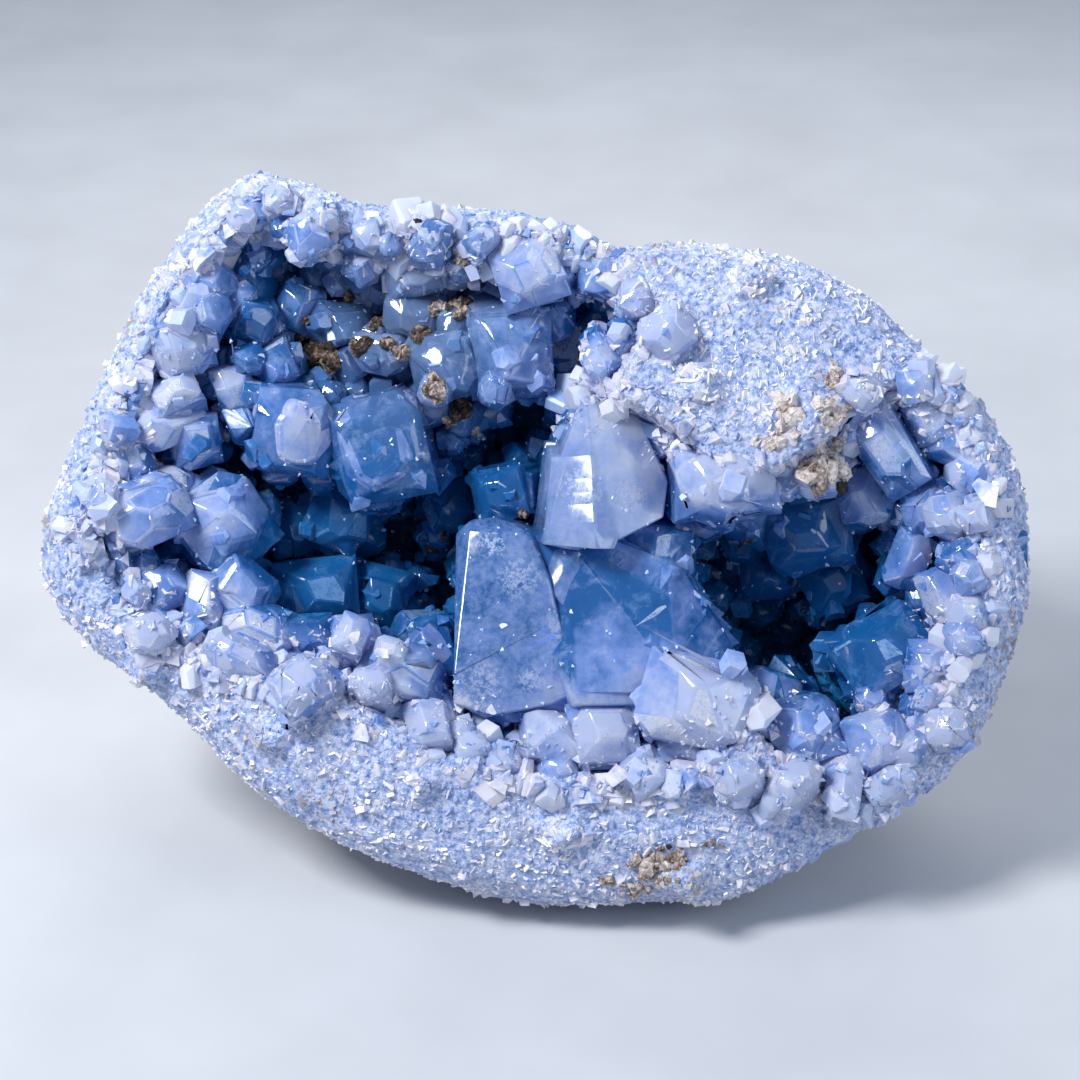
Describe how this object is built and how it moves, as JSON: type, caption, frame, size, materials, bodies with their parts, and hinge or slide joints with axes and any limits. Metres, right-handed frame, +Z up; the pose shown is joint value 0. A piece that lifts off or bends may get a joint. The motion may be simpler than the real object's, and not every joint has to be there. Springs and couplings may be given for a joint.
{
  "type": "celestite geode",
  "caption": "Open celestite geode leaning back on a small flat: a lumpy pale granular wall around hollows lined with blocky blue crystals.",
  "frame": {"origin": "under the middle of the whole geode, on the surface that it stands on", "axes": "+X to the right along the length as seen from the mouth, +Y to the back, away from the mouth, +Z up"},
  "size_m": [0.2196, 0.1364, 0.1477],
  "materials": {
    "granular_celestite": "rough sugary rim of pale blue-white and lavender grains, with a matt grey-white rind and tan host rock in places",
    "blue_celestite": "vitreous and translucent, cloudy sky blue at the tips and deep blue in the hollows"
  },
  "bodies": {
    "root": {"geode_wall": "granular_celestite", "crystal_crust": "blue_celestite"}
  },
  "joints": []
}
